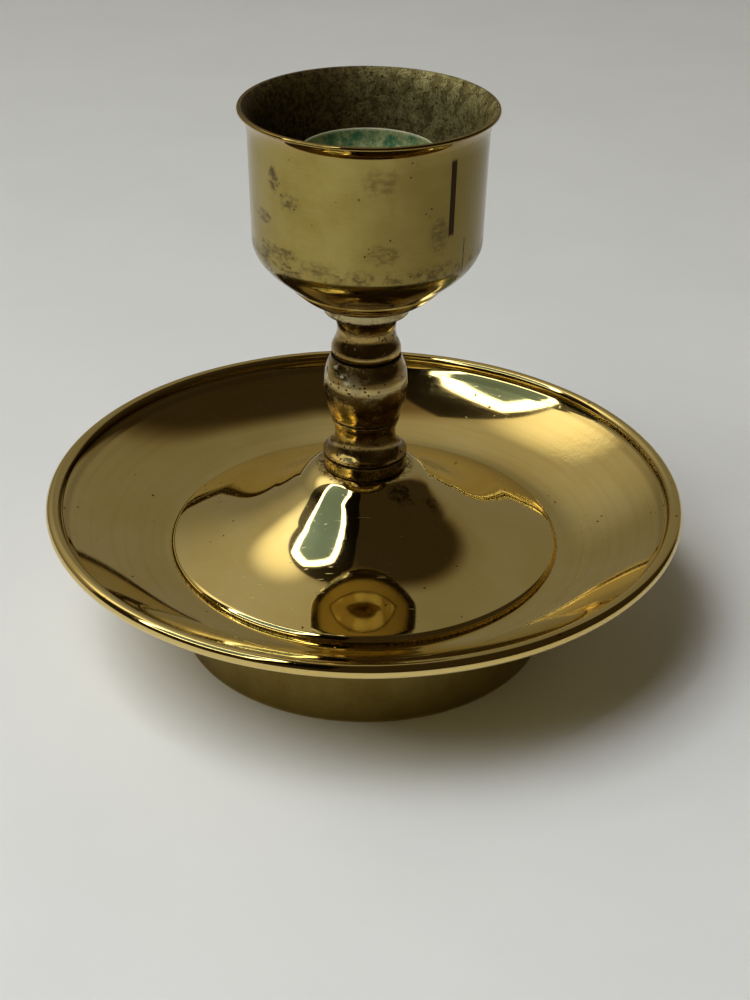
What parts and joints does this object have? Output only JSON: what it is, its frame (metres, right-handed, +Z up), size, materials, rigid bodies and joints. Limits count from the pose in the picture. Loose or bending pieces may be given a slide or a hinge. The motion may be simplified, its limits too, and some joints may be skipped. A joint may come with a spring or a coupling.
{
  "type": "candlestick",
  "caption": "Brass candlestick for one taper candle, with a cup round the socket, a turned stem and a wide drip pan on a foot ring.",
  "frame": {"origin": "centre of the foot ring at the surface it stands on", "axes": "+Z up along the turning axis, towards the cup; +X to the right and +Y away from the viewer, both arbitrary because the object is turned"},
  "size_m": [0.16, 0.16, 0.1384],
  "materials": {
    "foot_brass": "dull, unpolished, darkened",
    "pan_brass": "polished, fine scratches",
    "dome_brass": "polished, fine scratches",
    "stem_brass": "turned, pitted, grime in the grooves",
    "seat_brass": "polished",
    "cup_brass": "satin, tarnish smudges outside, dark tarnish inside",
    "socket_brass": "tarnished, green verdigris",
    "fastener_steel": "plain zinc, dulled"
  },
  "bodies": {
    "root": {"foot_ring": "foot_brass", "drip_pan": "pan_brass", "dome": "dome_brass", "base_collar": "stem_brass", "lower_spool": "stem_brass", "knop": "stem_brass", "upper_neck": "stem_brass", "seat_collar": "stem_brass", "bowl_seat": "seat_brass", "outer_cup": "cup_brass", "candle_socket": "socket_brass", "tie_rod": "fastener_steel", "flat_washer": "fastener_steel", "spring_washer": "fastener_steel", "base_nut": "fastener_steel"}
  },
  "joints": []
}
